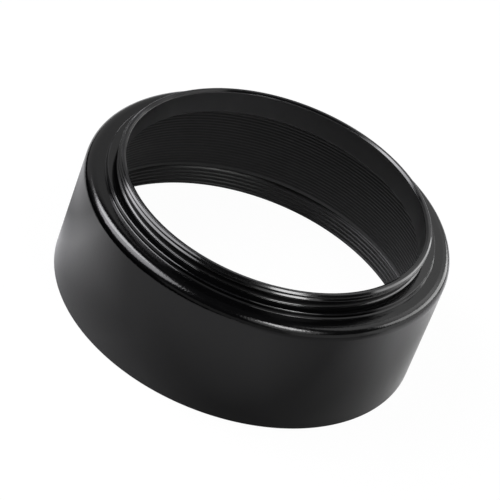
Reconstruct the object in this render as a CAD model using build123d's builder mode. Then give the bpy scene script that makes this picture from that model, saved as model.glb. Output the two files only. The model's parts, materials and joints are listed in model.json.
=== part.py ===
from build123d import *
import math
import os

# Screw-in metal lens hood in two pieces: a thin-walled barrel, and the ring screwed into its rear
# that carries the male thread for the lens.
# Origin: centre of the front rim face, which the hood stands on. +Z runs along the optical axis
# towards the lens. All sizes are in millimetres. Each piece is one profile, in radius and height,
# revolved about Z. Screw threads are plain cylinders at the size that a mating thread meets.

os.makedirs("parts", exist_ok=True)

# Barrel
outer_radius = 30.5
wall = 1.2
shoulder_height = 20.15      # front rim face to the flat of the rear shoulder
shoulder_fillet = 1.6
web_thickness = 1.55         # inward web behind the shoulder, which holds the mount ring
web_corner_fillet = 0.6
edge_break = 0.12            # every sharp outside edge is taken off by this much

# Screw threads
thread_pitch = 0.75
minor_offset = 5 / 8 * thread_pitch * math.cos(math.radians(30))  # major to minor radius, female
root_offset = 0.5            # major to root radius, male, which is also the relief groove's depth

# Front thread for a cap or filter
cap_thread_major = 30.0
cap_thread_minor = cap_thread_major - minor_offset
cap_thread_top = 3.35
cap_relief_top = 4.3

# Anti-reflection grooves round the bore, between the front thread and the web
groove_pitch = 0.58
groove_depth = 0.1
groove_count = 21
first_groove = 4.9

# Mount ring
lens_thread_major = 26.0
neck_bore = 24.9
rim_height = 23.58
rim_chamfer_out = 0.35       # lead-in chamfers, across the rim and down from it
rim_drop_out = 0.27
rim_chamfer_in = 0.36
rim_drop_in = 0.22
thread_bottom = 22.1         # where the male thread runs out into its square relief groove
collar_radius = 25.78        # low bevelled collar left between the relief groove and the step
collar_height = 0.05
step_height = 21.06          # flat that the lens's filter ring seats against
step_radius = 27.27
foot_radius = 27.48          # foot of the step, where it seats on the shoulder
foot_chamfer = 0.1
seat_gap = 0.02              # step to shoulder, free to turn
spigot_radius = 26.5         # the part of the ring that screws into the barrel
running_clearance = 0.05
spigot_bottom = shoulder_height - web_thickness
lower_chamfer = 0.7

# Values worked out from those above
bore_radius = outer_radius - wall
web_hole = spigot_radius + running_clearance
seat_height = shoulder_height + seat_gap
neck_root = lens_thread_major - root_offset


def groove_points():
    """Corners of the V-grooves from the front one up, on the bore from its flat edge outwards."""
    corners = [(bore_radius, first_groove)]
    for index in range(groove_count):
        bottom = first_groove + index * groove_pitch
        corners.append((bore_radius + groove_depth, bottom + groove_pitch / 2))
        corners.append((bore_radius, bottom + groove_pitch))
    return corners


# Barrel: tube, rounded shoulder, inward web, grooved bore and front thread
with BuildPart() as hood_barrel:
    with BuildSketch(Plane.XZ):
        with BuildLine():
            Polyline(
                (outer_radius - edge_break, 0),
                (outer_radius, edge_break),
                (outer_radius, shoulder_height),
                (web_hole + edge_break, shoulder_height),
                (web_hole, shoulder_height - edge_break),
                (web_hole, spigot_bottom),
                (bore_radius, spigot_bottom),
                *reversed(groove_points()),
                (bore_radius, cap_relief_top),
                (cap_thread_major, cap_relief_top),
                (cap_thread_major, cap_thread_top + cap_thread_major - cap_thread_minor),
                (cap_thread_minor, cap_thread_top),
                (cap_thread_minor, edge_break),
                (cap_thread_minor + edge_break, 0),
                close=True,
            )
        make_face()
    revolve(axis=Axis.Z)
    round_edges = hood_barrel.edges().filter_by(GeomType.CIRCLE)
    shoulder_edge = round_edges.group_by(Axis.Z)[-1].sort_by(SortBy.RADIUS)[-1]
    fillet(shoulder_edge, shoulder_fillet)
    web_edges = hood_barrel.edges().filter_by(GeomType.CIRCLE).filter_by_position(
        Axis.Z, spigot_bottom - 0.01, spigot_bottom + 0.01
    )
    fillet(web_edges.sort_by(SortBy.RADIUS)[-1], web_corner_fillet)
hood_barrel.part.label = "hood_barrel"
export_step(hood_barrel.part, "parts/hood_barrel.step")

# Mount ring: male thread for the lens, step that seats on it, and a spigot screwed into the web
with BuildPart() as mount_ring:
    with BuildSketch(Plane.XZ):
        with BuildLine():
            Polyline(
                (neck_bore, spigot_bottom + lower_chamfer),
                (neck_bore, rim_height - rim_drop_in),
                (neck_bore + rim_chamfer_in, rim_height),
                (lens_thread_major - rim_chamfer_out, rim_height),
                (lens_thread_major, rim_height - rim_drop_out),
                (lens_thread_major, thread_bottom),
                (neck_root, thread_bottom),
                (neck_root, step_height + collar_height),
                (collar_radius - collar_height, step_height + collar_height),
                (collar_radius, step_height),
                (step_radius - edge_break, step_height),
                (step_radius, step_height - edge_break),
                (foot_radius - foot_chamfer, seat_height + foot_chamfer),
                (foot_radius, seat_height),
                (spigot_radius, seat_height),
                (spigot_radius, spigot_bottom),
                (neck_bore + lower_chamfer, spigot_bottom),
                close=True,
            )
        make_face()
    revolve(axis=Axis.Z)
mount_ring.part.label = "mount_ring"
export_step(mount_ring.part, "parts/mount_ring.step")
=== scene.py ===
"""Looks for the screw-in lens hood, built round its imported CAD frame.

The barrel and the mount ring are lathed here as fine closed meshes, with real helical threads and
V-grooves in place of the frame's plain cylinders. Lengths are in millimetres until a mesh, a lamp
or the camera is made. Azimuths run from -Y towards +X, so that 0 is the side nearest the camera.
"""
import json
import math

import bpy
import numpy as np
from mathutils import Matrix, Vector


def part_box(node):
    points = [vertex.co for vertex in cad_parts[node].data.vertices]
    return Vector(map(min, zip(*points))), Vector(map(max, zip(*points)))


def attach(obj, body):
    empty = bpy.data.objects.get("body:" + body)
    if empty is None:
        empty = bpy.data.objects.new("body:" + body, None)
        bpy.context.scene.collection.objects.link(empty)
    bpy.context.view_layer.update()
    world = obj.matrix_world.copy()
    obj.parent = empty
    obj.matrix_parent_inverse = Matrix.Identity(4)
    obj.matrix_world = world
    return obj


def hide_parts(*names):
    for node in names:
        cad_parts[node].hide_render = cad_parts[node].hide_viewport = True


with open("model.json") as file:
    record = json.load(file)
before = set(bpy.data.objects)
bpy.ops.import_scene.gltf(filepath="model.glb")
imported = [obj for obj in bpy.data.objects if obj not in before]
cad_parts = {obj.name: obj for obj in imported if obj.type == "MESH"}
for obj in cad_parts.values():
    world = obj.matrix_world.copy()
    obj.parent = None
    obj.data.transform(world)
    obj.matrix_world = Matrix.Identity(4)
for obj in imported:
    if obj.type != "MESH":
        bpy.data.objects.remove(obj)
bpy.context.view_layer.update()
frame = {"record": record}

MM = 0.001                   # one millimetre in scene units


# ---------------------------------------------------------------- dimensions from the frame

def node_extent(node):
    """Outer radius, lowest height and highest height of a CAD node, in mm."""
    low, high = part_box(node)
    return high.y / MM, low.z / MM, high.z / MM


def mount_radius(name):
    """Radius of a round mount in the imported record, in mm."""
    mount = next(m for m in frame["record"]["mounts"] if m["name"] == name)
    return mount["dims"]["r_mm"]


OUTER, RIM_FACE, SHOULDER = node_extent("hood_barrel")
STEP_FOOT, SPIGOT_FOOT, NECK_TOP = node_extent("mount_ring")
LENS_MAJOR = mount_radius("lens_thread")
CAP_MINOR = mount_radius("cap_thread")

# Barrel
WALL = 1.2
SHOULDER_FILLET = 1.6
WEB_FILLET = 0.6
EDGE_BREAK = 0.12            # rounding of the sharp edges; small inner ones get half of it
GROOVE_PITCH, GROOVE_DEPTH, GROOVE_COUNT, FIRST_GROOVE = 0.58, 0.1, 21, 4.9
GROOVE_TIP = 0.04            # half width of the flat that the tool leaves at each groove's crest and root
CAP_MAJOR, CAP_THREAD_TOP, CAP_RELIEF_TOP = 30.0, 3.35, 4.3

# Mount ring
NECK_BORE = 24.9
RIM_BEVEL_IN, RIM_BEVEL_IN_DROP = 0.36, 0.22
RIM_BEVEL_OUT, RIM_BEVEL_OUT_DROP = 0.35, 0.27
THREAD_BOTTOM, RELIEF_DEPTH = 22.1, 0.5
COLLAR, COLLAR_HEIGHT = 25.78, 0.05
STEP, STEP_TOP = 27.27, 21.06
FOOT_CHAMFER = STEP_CHAMFER = 0.1        # at the foot of the step and round its top edge
SPIGOT, RUNNING_CLEARANCE, SEAT_GAP = 26.5, 0.05, 0.02
SPIGOT_CHAMFER = 0.7

# Threads, cut shallow with open flanks
PITCH = 0.75
MALE_SLOPE, FEMALE_SLOPE = 1.2, 1.0      # radius gained per unit of height on a flank
MALE_DEPTH, FEMALE_DEPTH = 0.33, 0.19
LENS_CREST, CAP_CREST, SPIGOT_CREST = 22.5, 2.825, 19.3      # height of one crest at azimuth 0
MALE_EASE, FEMALE_EASE = 0.035, 0.06     # how far crests and roots are softened

# Meshing
SEGMENTS = 360
AZIMUTH = np.arange(SEGMENTS) * 2 * math.pi / SEGMENTS
ARC_STEP = math.radians(15)  # turn between the rings of a rounded edge
GUARD = 0.035                # distance from a rounded edge to the ring that keeps the flat beside it flat
FINE_GAP, COARSE_GAP = 0.045, 0.06       # heights between rings where a helix crosses them
SAMPLE_GAP = 0.002           # heights between the samples that find a thread's corners
CORNER_BEND = 2e-4           # least second difference of those samples' radii at a corner


# ---------------------------------------------------------------- lathe

class Lathe:
    """A closed outline turned about Z. Each ring holds a radius and a height at every azimuth."""

    def __init__(self):
        self.rings = []
        self.wear = []
        self.slots = []
        self.slot = 0

    def ring(self, radius, height, wear=0.0):
        """One ring, unless it repeats the last. The band after it takes the slot in force now."""
        last = self.rings[-1] if self.rings else (-1, -1)
        if np.allclose(radius, last[0], atol=1e-6) and np.allclose(height, last[1], atol=1e-6):
            self.slots[-1] = self.slot
            return
        self.rings.append((np.broadcast_to(radius, SEGMENTS), np.broadcast_to(height, SEGMENTS)))
        self.wear.append(np.broadcast_to(wear, SEGMENTS))
        self.slots.append(self.slot)

    def path(self, corners):
        """Rings along straight runs between corners (radius, height, rounding, wear at the corner)."""
        points = [Vector(c[:2]) for c in corners]
        for i, (_, _, rounding, wear) in enumerate(corners):
            if rounding == 0 or i in (0, len(corners) - 1):
                self.ring(*points[i], wear)
                continue
            back = (points[i - 1] - points[i]).normalized()
            ahead = (points[i + 1] - points[i]).normalized()
            turn = math.pi - back.angle(ahead)
            reach = rounding * math.tan(turn / 2)
            centre = points[i] + (back + ahead).normalized() * (rounding / math.cos(turn / 2))
            steps = max(2, math.ceil(turn / ARC_STEP))
            start = points[i] + back * reach - centre
            end = points[i] + ahead * reach - centre
            if (points[i - 1] - points[i]).length > reach + 2 * GUARD:
                self.ring(*(points[i] + back * (reach + GUARD)))
            for k in range(steps + 1):
                spoke = start * math.sin(turn * (1 - k / steps)) + end * math.sin(turn * k / steps)
                self.ring(*(centre + spoke / math.sin(turn)), wear)
            if (points[i + 1] - points[i]).length > reach + 2 * GUARD:
                self.ring(*(points[i] + ahead * (reach + GUARD)))

    def helix(self, low, high, radius_at, ring_gap, downwards):
        """Rings from low to high across a surface radius_at(heights, azimuth) that a helix runs round.

        Each column moves its nearest rings onto the surface's own corners, so that crests stay crisp.
        """
        count = int(round((high - low) / ring_gap)) + 1
        grid = np.linspace(low, high, count)
        gap = grid[1] - grid[0]
        fine = np.linspace(low, high, int((high - low) / SAMPLE_GAP) + 1)
        heights = np.repeat(grid[:, None], SEGMENTS, 1)
        for column, azimuth in enumerate(AZIMUTH):
            bend = np.abs(np.diff(radius_at(fine, azimuth), 2))
            is_peak = (bend >= np.roll(bend, 1)) & (bend > np.roll(bend, -1))
            is_corner = is_peak & (bend > CORNER_BEND)
            taken = {0, count - 1}
            for corner in fine[1:-1][is_corner]:
                nearest = int(round((corner - low) / gap))
                if nearest not in taken:
                    heights[nearest, column] = corner
                    taken.add(nearest)
        least_gap = gap / 20
        for index in range(1, count):
            heights[index] = np.maximum(heights[index], heights[index - 1] + least_gap)
        order = reversed(range(count)) if downwards else range(count)
        for index in order:
            self.ring(radius_at(heights[index], AZIMUTH), heights[index])

    def build(self, name, materials):
        """The finished object. Its triangles' diagonals run up to the right, as a right-hand helix does."""
        radius = np.array([r for r, _ in self.rings]) * MM
        height = np.array([z for _, z in self.rings]) * MM
        x, y = radius * np.sin(AZIMUTH), -radius * np.cos(AZIMUTH)
        points = np.stack([x, y, height], -1).reshape(-1, 3)
        ring_count = len(self.rings)
        this = np.arange(ring_count)[:, None] * SEGMENTS
        after = np.roll(this, -1, 0)
        column = np.arange(SEGMENTS)[None, :]
        right = np.roll(column, -1, 1)
        rises = np.roll(height.mean(1), -1) >= height.mean(1)
        a, b, c, d = this + column, this + right, after + right, after + column
        up = np.stack([np.stack([a, b, c], -1), np.stack([a, c, d], -1)], 2)
        down = np.stack([np.stack([a, b, d], -1), np.stack([b, c, d], -1)], 2)
        faces = np.where(rises[:, None, None, None], up, down).reshape(-1, 3)
        mesh = bpy.data.meshes.new(name)
        mesh.vertices.add(len(points))
        mesh.vertices.foreach_set("co", points.ravel())
        mesh.loops.add(faces.size)
        mesh.loops.foreach_set("vertex_index", faces.ravel())
        mesh.polygons.add(len(faces))
        mesh.polygons.foreach_set("loop_start", np.arange(len(faces)) * 3)
        for material in materials:
            mesh.materials.append(material)
        mesh.polygons.foreach_set("material_index", np.repeat(self.slots, SEGMENTS * 2))
        mesh.polygons.foreach_set("use_smooth", np.ones(len(faces), bool))
        wear = mesh.attributes.new("wear", "FLOAT", "POINT")
        wear.data.foreach_set("value", np.concatenate(self.wear).astype(np.float32))
        mesh.update(calc_edges=True)
        mesh.validate()
        piece = bpy.data.objects.new(name, mesh)
        bpy.context.scene.collection.objects.link(piece)
        return piece


# ---------------------------------------------------------------- thread forms

def from_crest(height, azimuth, crest):
    """Distance along Z from the nearest crest of a right-hand helix, at most half a pitch."""
    turns = (height - crest) / PITCH - azimuth / (2 * math.pi)
    return np.abs(turns - np.round(turns)) * PITCH


def eased(value, top, ease):
    """value held between 0 and top, with both corners rounded."""
    above_zero = (value + np.sqrt(value ** 2 + ease ** 2)) / 2
    short = top - above_zero
    return top - (short + np.sqrt(short ** 2 + ease ** 2)) / 2


def male_thread(major, crest):
    """Radius of a male thread, as a function of height and azimuth."""
    def radius(height, azimuth):
        fall = (from_crest(height, azimuth, crest) - PITCH / 16) * MALE_SLOPE
        return major - eased(fall, MALE_DEPTH, MALE_EASE)
    return radius


def female_thread(minor, crest):
    """Radius of a female thread, whose crests point inwards."""
    def radius(height, azimuth):
        rise = (from_crest(height, azimuth, crest) - PITCH / 8) * FEMALE_SLOPE
        return minor + eased(rise, FEMALE_DEPTH, FEMALE_EASE)
    return radius


# ---------------------------------------------------------------- the two pieces

BLASTED, GROOVED, THREADED = range(3)    # the barrel's material slots
TURNED, MATT = range(2)                  # the ring's material slots


def lathe_barrel(materials):
    """Barrel: blasted outside and shoulder, threaded web, grooved bore and front thread."""
    lathe = Lathe()
    bore = OUTER - WALL
    web_hole = SPIGOT + RUNNING_CLEARANCE
    web_lead, cap_lead = 0.2, 0.1        # plain heights at the ends of the two threads
    rim_land = 0.3                       # width of the rim face beside its outer edge

    lathe.slot = BLASTED
    lathe.path([
        (OUTER - rim_land, RIM_FACE, 0, 0),
        (OUTER, RIM_FACE, EDGE_BREAK, 1),
        (OUTER, SHOULDER, SHOULDER_FILLET, 0),
        (web_hole, SHOULDER, EDGE_BREAK, 0.5),
        (web_hole, SHOULDER - web_lead, 0, 0),
    ])
    lathe.slot = THREADED
    web_thread = female_thread(web_hole, SPIGOT_CREST)
    lathe.helix(SPIGOT_FOOT + web_lead, SHOULDER - web_lead, web_thread, COARSE_GAP, downwards=True)
    lathe.slot = GROOVED
    groove_top = FIRST_GROOVE + GROOVE_COUNT * GROOVE_PITCH
    lathe.path([
        (web_hole, SPIGOT_FOOT + web_lead / 2, 0, 0),
        (web_hole, SPIGOT_FOOT, web_lead / 4, 0),
        (bore, SPIGOT_FOOT, WEB_FILLET, 0),
        (bore, groove_top + GROOVE_TIP, 0, 0),
    ])
    for groove in reversed(range(GROOVE_COUNT)):
        crest = FIRST_GROOVE + groove * GROOVE_PITCH
        root = crest + GROOVE_PITCH / 2
        lathe.ring(bore + GROOVE_DEPTH, root + GROOVE_TIP)
        lathe.ring(bore + GROOVE_DEPTH, root - GROOVE_TIP)
        lathe.ring(bore, crest + GROOVE_TIP)
        lathe.ring(bore, crest - GROOVE_TIP)
    relief_foot = CAP_THREAD_TOP + CAP_MAJOR - CAP_MINOR
    lathe.slot = THREADED
    lathe.path([
        (bore, FIRST_GROOVE - 2 * GROOVE_TIP, 0, 0),
        (bore, CAP_RELIEF_TOP, EDGE_BREAK / 2, 0.3),
        (CAP_MAJOR, CAP_RELIEF_TOP, EDGE_BREAK / 2, 0),
        (CAP_MAJOR, relief_foot + cap_lead, 0, 0),
    ])
    thread = female_thread(CAP_MINOR, CAP_CREST)
    heights = [CAP_THREAD_TOP, relief_foot]
    radii = [CAP_MINOR, CAP_MAJOR]

    def cut_thread(height, azimuth):
        return np.maximum(thread(height, azimuth), np.interp(height, heights, radii))

    lathe.helix(cap_lead, relief_foot + cap_lead, cut_thread, COARSE_GAP, downwards=True)
    lathe.ring(CAP_MINOR + EDGE_BREAK / 2, RIM_FACE, 0.5)
    return lathe.build("barrel_body", materials)


def lathe_ring(materials):
    """Mount ring: threaded spigot, step, relief groove, neck with the lens thread, and bore.

    The relief groove and the bore are matt, and the rest is turned bright.
    """
    lathe = Lathe()
    neck_root = LENS_MAJOR - RELIEF_DEPTH
    seat = SHOULDER + SEAT_GAP
    lead = 0.2                           # plain height at the ends of the spigot's thread
    spigot_end = SPIGOT - 2 * lead       # radius of the spigot's lead-in, and of its undercut at the seat
    rim_edge = 0.04                      # bevel where the lead-in chamfer meets the rim
    run_out = 0.1                        # height over which the lens thread fades into its relief groove

    lathe.slot = TURNED
    spigot_thread = male_thread(SPIGOT, SPIGOT_CREST)
    heights = [SPIGOT_FOOT, SPIGOT_FOOT + 2 * lead, seat - 2 * lead, seat - lead]
    radii = [spigot_end, SPIGOT, SPIGOT, spigot_end]

    def cut_spigot(height, azimuth):
        return np.minimum(spigot_thread(height, azimuth), np.interp(height, heights, radii))

    lathe.helix(SPIGOT_FOOT, seat - lead / 2, cut_spigot, COARSE_GAP, downwards=False)
    lathe.path([
        (spigot_end, seat - lead / 4, 0, 0),
        (SPIGOT - lead, seat, 0, 0),
        (STEP_FOOT, seat, FOOT_CHAMFER / 8, 0),
        (STEP_FOOT - FOOT_CHAMFER, seat + FOOT_CHAMFER, FOOT_CHAMFER / 5, 1),
        (STEP, seat + 3 * FOOT_CHAMFER, FOOT_CHAMFER / 2, 0),
        (STEP, STEP_TOP - STEP_CHAMFER, STEP_CHAMFER / 5, 1),
        (STEP - STEP_CHAMFER, STEP_TOP, STEP_CHAMFER / 5, 1),
        (COLLAR, STEP_TOP, COLLAR_HEIGHT / 4, 0),
        (COLLAR - COLLAR_HEIGHT, STEP_TOP + COLLAR_HEIGHT, 0, 0),
    ])
    lathe.slot = MATT
    lathe.path([
        (neck_root, STEP_TOP + COLLAR_HEIGHT, 0, 0),
        (neck_root, THREAD_BOTTOM, 0, 0),
    ])
    lathe.slot = TURNED
    lens_thread = male_thread(LENS_MAJOR, LENS_CREST)
    rim_out = LENS_MAJOR - RIM_BEVEL_OUT
    rim_in_foot = NECK_TOP - RIM_BEVEL_IN_DROP
    heights = [THREAD_BOTTOM, THREAD_BOTTOM + run_out,
               NECK_TOP - RIM_BEVEL_OUT_DROP, NECK_TOP - rim_edge, NECK_TOP]
    radii = [LENS_MAJOR - MALE_DEPTH, LENS_MAJOR, LENS_MAJOR, rim_out + rim_edge, rim_out]

    def cut_lens_thread(height, azimuth):
        return np.minimum(lens_thread(height, azimuth), np.interp(height, heights, radii))

    lathe.helix(THREAD_BOTTOM, NECK_TOP, cut_lens_thread, FINE_GAP, downwards=False)
    lathe.path([
        (rim_out - 2 * rim_edge, NECK_TOP, 0, 1),
        (NECK_BORE + RIM_BEVEL_IN, NECK_TOP, rim_edge, 1),
        (NECK_BORE, rim_in_foot, rim_edge, 0.5),
        (NECK_BORE, rim_in_foot - 4 * GUARD, 0, 0),
    ])
    lathe.slot = MATT
    lathe.path([
        (NECK_BORE, rim_in_foot - 4 * GUARD, 0, 0),
        (NECK_BORE, SPIGOT_FOOT + SPIGOT_CHAMFER, EDGE_BREAK, 0.5),
        (NECK_BORE + SPIGOT_CHAMFER, SPIGOT_FOOT, EDGE_BREAK / 2, 0),
        (spigot_end - GUARD, SPIGOT_FOOT, 0, 0),
    ])
    return lathe.build("mount_ring_body", materials)


# ---------------------------------------------------------------- materials

class Graph:
    """Short spelling for a material's node tree, in which lengths are millimetres."""

    def __init__(self, name):
        self.material = bpy.data.materials.new(name)
        self.material.use_nodes = True
        self.tree = self.material.node_tree
        self.tree.nodes.clear()

    def node(self, kind, inputs=None, **settings):
        """A node with its settings and inputs, each a plain value or another node's output."""
        made = self.tree.nodes.new("ShaderNode" + kind)
        for key, value in settings.items():
            setattr(made, key, value)
        for key, value in (inputs or {}).items():
            if isinstance(value, bpy.types.NodeSocket):
                self.tree.links.new(value, made.inputs[key])
            else:
                made.inputs[key].default_value = value
        return made

    def math(self, operation, *values):
        """The outcome of one arithmetic step."""
        return self.node("Math", dict(enumerate(values)), operation=operation).outputs[0]

    def place(self):
        """The point in mm, from the object's own coordinates."""
        coordinates = self.node("TexCoord").outputs["Object"]
        return self.node("VectorMath", {0: coordinates, "Scale": 1 / MM}, operation="SCALE").outputs[0]

    def radius(self, x, y):
        """Distance from the axis."""
        return self.math("SQRT", self.math("MULTIPLY_ADD", x, x, self.math("MULTIPLY", y, y)))

    def along(self, x, y, towards_x, towards_y):
        """Distance from the axis in one direction."""
        return self.math("MULTIPLY_ADD", x, towards_x, self.math("MULTIPLY", y, towards_y))

    def turned_place(self, share):
        """(radius, height, azimuth in radians times share): what a lathe tool's marks follow."""
        x, y, z = self.node("SeparateXYZ", {0: self.place()}).outputs
        azimuth = self.math("MULTIPLY", self.math("ARCTAN2", x, y), share)
        return self.node("CombineXYZ", {0: self.radius(x, y), 1: z, 2: azimuth}).outputs[0]

    def noise(self, place, size, detail=2.0):
        """Noise from 0 to 1 with features of about that size."""
        inputs = {"Vector": place, "Scale": 1 / size, "Detail": detail}
        return self.node("TexNoise", inputs).outputs["Fac"]

    def range(self, value, low, high, start=0.0, end=1.0):
        """value from start to end, mapped onto low to high."""
        inputs = {"Value": value, "From Min": start, "From Max": end, "To Min": low, "To Max": high}
        return self.node("MapRange", inputs).outputs[0]

    def bump(self, height, depth, under=None):
        """The surface's normal, tilted by a height from 0 to 1 that stands for depth."""
        inputs = {"Height": height, "Distance": depth * MM, "Strength": 1.0}
        if under is not None:
            inputs["Normal"] = under
        return self.node("Bump", inputs).outputs[0]

    def mix_colour(self, share, first, second):
        """A colour from first to second, by the share."""
        made = self.node("Mix", {0: share}, data_type="RGBA")
        for socket, value in zip((made.inputs[6], made.inputs[7]), (first, second)):
            socket.default_value = (*value, 1)
        return made.outputs[2]

    def finish(self, shader):
        """The material, with that shader as its surface."""
        self.node("OutputMaterial", {"Surface": shader.outputs[0]})
        return self.material


DYE = (0.001, 0.001, 0.0011)             # the dye's own colour, under the clear oxide
RUBBED = (0.03, 0.03, 0.033)             # where handling has thinned it on an edge
PATCH_SIZE = 4.0                         # of the areas that differ a little in sheen and wear
STREAK_SIZE, STREAK_DRIFT = 0.09, 0.4    # width of a turning mark, and how fast it changes round the axis
SHEEN_SPREAD, RUBBED_SHEEN = 0.03, 0.08  # change in roughness from patch to patch, and where rubbed


def anodised(name, roughness, grain_size, grain_depth, streak_depth, specular=0.5):
    """Black anodised aluminium: grain from blasting, streaks from turning, edges a little rubbed."""
    graph = Graph(name)
    place = graph.place()
    grain = graph.noise(place, grain_size)
    streaks = graph.noise(graph.turned_place(STREAK_DRIFT), STREAK_SIZE, 3.0)
    patches = graph.noise(place, PATCH_SIZE, 3.0)
    worn = graph.node("Attribute", attribute_name="wear").outputs["Fac"]
    rub = graph.math("MULTIPLY", worn, graph.range(patches, 0.0, 0.6, 0.35, 0.7))
    rough = graph.range(patches, roughness - SHEEN_SPREAD, roughness + SHEEN_SPREAD, 0.3, 0.7)
    rough = graph.math("SUBTRACT", rough, graph.math("MULTIPLY", rub, RUBBED_SHEEN))
    normal = graph.bump(grain, grain_depth)
    normal = graph.bump(streaks, streak_depth, normal)
    shader = graph.node("BsdfPrincipled", {
        "Base Color": graph.mix_colour(rub, DYE, RUBBED),
        "Roughness": rough,
        "IOR": 1.5,
        "Specular IOR Level": specular,
        "Normal": normal,
    })
    return graph.finish(shader)


# ---------------------------------------------------------------- stage, lamps and camera

def make_floor():
    """Pale floor: white to the camera, clear from below, and to reflections a card with the hood's shade
    painted on.

    The card ends on the left. The painted shades are shares of its tone that the hood's shadow would keep
    off it, and each ramps between two distances in mm.
    """
    bpy.ops.mesh.primitive_plane_add(size=6.0, location=(0, 0, -0.1 * MM))
    floor = bpy.context.object
    floor.name = "floor"
    graph = Graph("pale_floor")
    x, y, _ = graph.node("SeparateXYZ", {0: graph.place()}).outputs
    radius = graph.radius(x, y)
    card = graph.range(graph.along(x, y, 1, 0.35), 0.0, 0.85, -66, -57)
    # Painted shade on the card, seen only in reflections: each mask darkens it where the hood's shadow
    # falls, in front, to the right, to the back left, at its foot and beside its wall on the left.
    near = graph.range(y, 0.0, 0.6, -8, -33)
    right = graph.range(x, 0.0, 0.15, 15, 35)
    painted_back_left_shade = graph.range(graph.along(x, y, -0.6, 0.8), 0.0, 0.5, 17, 25)
    painted_front_right_shade = graph.range(graph.along(x, y, 0.37, -0.93), 0.0, 0.35, 25, 33)
    left = graph.range(x, 0.0, 1.0, -20, -30)
    painted_contact_shade = graph.range(radius, 0.6, 0.0, OUTER, OUTER + 20)
    beside = graph.range(radius, 0.3, 0.0, OUTER + 2, OUTER + 12)
    outside = graph.range(radius, 0.0, 1.0, OUTER - WALL, OUTER)
    # The painted shade summed, and kept off the card under the bore.
    painted_shade = graph.math("ADD", near, right)
    painted_shade = graph.math("MULTIPLY_ADD", painted_contact_shade, painted_front_right_shade, painted_shade)
    painted_shade = graph.math("MULTIPLY_ADD", beside, left, painted_shade)
    painted_shade = graph.math("ADD", painted_shade, painted_back_left_shade)
    painted_shade = graph.math("MULTIPLY", graph.math("MINIMUM", painted_shade, 0.95), outside)
    shaded_grey = graph.math("MULTIPLY", card, graph.math("SUBTRACT", 1.0, painted_shade))
    tone = graph.node("CombineXYZ", {0: shaded_grey, 1: shaded_grey, 2: shaded_grey}).outputs[0]
    lit = graph.node("BsdfDiffuse", {"Color": tone})
    white = graph.node("Emission", {"Color": (1, 1, 1, 1), "Strength": 1.0})
    seen_white = graph.node("BsdfDiffuse", {"Color": (0.8, 0.8, 0.8, 1)})
    seen = graph.node("MixShader", {0: 0.97, 1: seen_white.outputs[0], 2: white.outputs[0]})
    camera_ray = graph.node("LightPath").outputs["Is Camera Ray"]
    above = graph.node("MixShader", {0: camera_ray, 1: lit.outputs[0], 2: seen.outputs[0]})
    from_below = graph.node("NewGeometry").outputs["Backfacing"]
    clear = graph.node("BsdfTransparent")
    shader = graph.node("MixShader", {0: from_below, 1: above.outputs[0], 2: clear.outputs[0]})
    floor.data.materials.append(graph.finish(shader))


def make_world():
    """A dim room for reflections and plain white behind the floor's edge for the camera."""
    world = bpy.data.worlds.new("room")
    bpy.context.scene.world = world
    world.use_nodes = True
    tree = world.node_tree
    tree.nodes.clear()
    room = tree.nodes.new("ShaderNodeBackground")
    room.inputs["Color"].default_value = (0.03, 0.03, 0.032, 1)
    white = tree.nodes.new("ShaderNodeBackground")
    white.inputs["Color"].default_value = (1, 1, 1, 1)
    path = tree.nodes.new("ShaderNodeLightPath")
    mix = tree.nodes.new("ShaderNodeMixShader")
    out = tree.nodes.new("ShaderNodeOutputWorld")
    tree.links.new(path.outputs["Is Camera Ray"], mix.inputs[0])
    tree.links.new(room.outputs[0], mix.inputs[1])
    tree.links.new(white.outputs[0], mix.inputs[2])
    tree.links.new(mix.outputs[0], out.inputs[0])


SHOULDER_CENTRE = Vector((0, 0, SHOULDER * MM))


def panel(name, towards, width, height, radiance, along=(0, 0, 1), colour=(1, 1, 1), distance=0.7,
          shape="RECTANGLE"):
    """A soft panel lamp in that direction from the shoulder's centre, hidden from the camera.

    Its width and height are shares of its distance in metres, and its height runs along the vector
    given. Lamps that overlap in direction hang at different distances, so that none hides another.
    """
    lamp = bpy.data.lights.new(name, "AREA")
    lamp.shape = shape
    lamp.size, lamp.size_y = width * distance, height * distance
    lamp.energy = radiance * math.pi * lamp.size * lamp.size_y
    lamp.color = colour
    holder = bpy.data.objects.new(name, lamp)
    back = Vector(towards).normalized()
    right = Vector(along).cross(back).normalized()
    turn = Matrix((right, back.cross(right), back)).transposed()
    holder.matrix_world = Matrix.Translation(SHOULDER_CENTRE + back * distance) @ turn.to_4x4()
    holder.visible_camera = False
    bpy.context.scene.collection.objects.link(holder)


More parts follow.
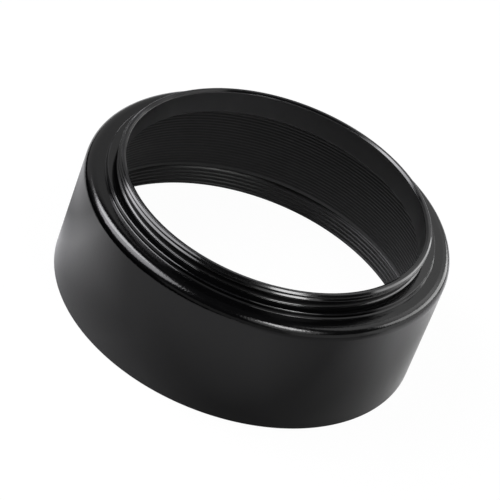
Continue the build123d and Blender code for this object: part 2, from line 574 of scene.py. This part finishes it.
def make_lamps():
    """Large soft key from the upper left, a strip behind right, a small overhead kicker and dim walls."""
    lavender = (0.97, 0.965, 1.0)
    key_slant = (0.55, -0.45, 0.6)
    panel("key", (-0.73, -0.085, 0.697), 0.88, 1.1, 3.6, along=key_slant, colour=lavender,
          shape="ELLIPSE")
    panel("key_edge", (-0.695, 0.073, 0.697), 0.76, 0.85, 1.5, along=key_slant, colour=lavender,
          distance=0.69)
    panel("key_centre", (-0.636, 0.196, 0.735), 0.42, 0.65, 4.2, along=key_slant, colour=lavender,
          distance=0.68, shape="ELLIPSE")
    panel("kicker", (0.365, -0.365, 0.855), 0.26, 0.42, 9.0, shape="ELLIPSE")
    panel("kicker_glow", (0.41, -0.5, 0.76), 0.6, 0.75, 0.9, distance=0.69, shape="ELLIPSE")
    strip_slant = (-0.11, 0.58, -0.45)
    panel("strip_spill", (0.4, 0.5, 0.77), 0.35, 0.8, 0.9, along=strip_slant, distance=0.69)
    panel("strip", (0.69, 0.613, 0.404), 0.32, 1.04, 3.6, along=strip_slant)
    panel("right_wall", (0.9, 0.3, 0.15), 1.0, 0.7, 0.9, distance=1.2)
    panel("front_wall", (0.85, -0.55, 0.15), 0.9, 0.7, 0.5, distance=1.2)
    panel("camera_side", (-0.1, -1.0, 0.2), 1.4, 0.5, 0.2, distance=1.2)
    panel("backdrop", (-0.2, 0.9, 0.35), 2.2, 0.9, 0.35, distance=1.0)
    panel("backdrop_right", (0.45, 0.8, 0.585), 0.9, 0.5, 0.35, distance=0.6)


def make_camera():
    """Long lens from well above the hood, rolled to the left."""
    aim = Vector((-0.45, -4.89, 13.69)) * MM
    distance, elevation, roll = 432.06 * MM, math.radians(35.82), math.radians(21.31)
    camera = bpy.data.objects.new("camera", bpy.data.cameras.new("camera"))
    camera.data.lens = 195.49
    camera.data.sensor_width = 36
    camera.data.clip_start = 0.01
    camera.data.shift_x, camera.data.shift_y = -0.001, 0.001
    tilt = Matrix.Rotation(math.pi / 2 - elevation, 4, "X") @ Matrix.Rotation(roll, 4, "Z")
    back = Vector((0, -math.cos(elevation), math.sin(elevation)))
    camera.matrix_world = Matrix.Translation(aim + back * distance) @ tilt
    bpy.context.scene.collection.objects.link(camera)
    bpy.context.scene.camera = camera


# ---------------------------------------------------------------- put together

shell_finish = anodised("blasted_black", 0.135, 0.3, 0.014, 0.0)
bore_finish = anodised("matt_bore_black", 0.42, 0.1, 0.004, 0.003, specular=0.31)
turned_finish = anodised("turned_black", 0.13, 0.1, 0.0005, 0.0007, specular=0.65)
thread_finish = anodised("matt_thread_black", 0.38, 0.1, 0.002, 0.001)

barrel = lathe_barrel([shell_finish, bore_finish, thread_finish])
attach(barrel, "barrel")
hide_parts("hood_barrel")

ring = lathe_ring([turned_finish, bore_finish])
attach(ring, "ring")
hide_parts("mount_ring")

make_floor()
make_world()
make_lamps()
make_camera()
bpy.context.scene.view_settings.view_transform = "Standard"
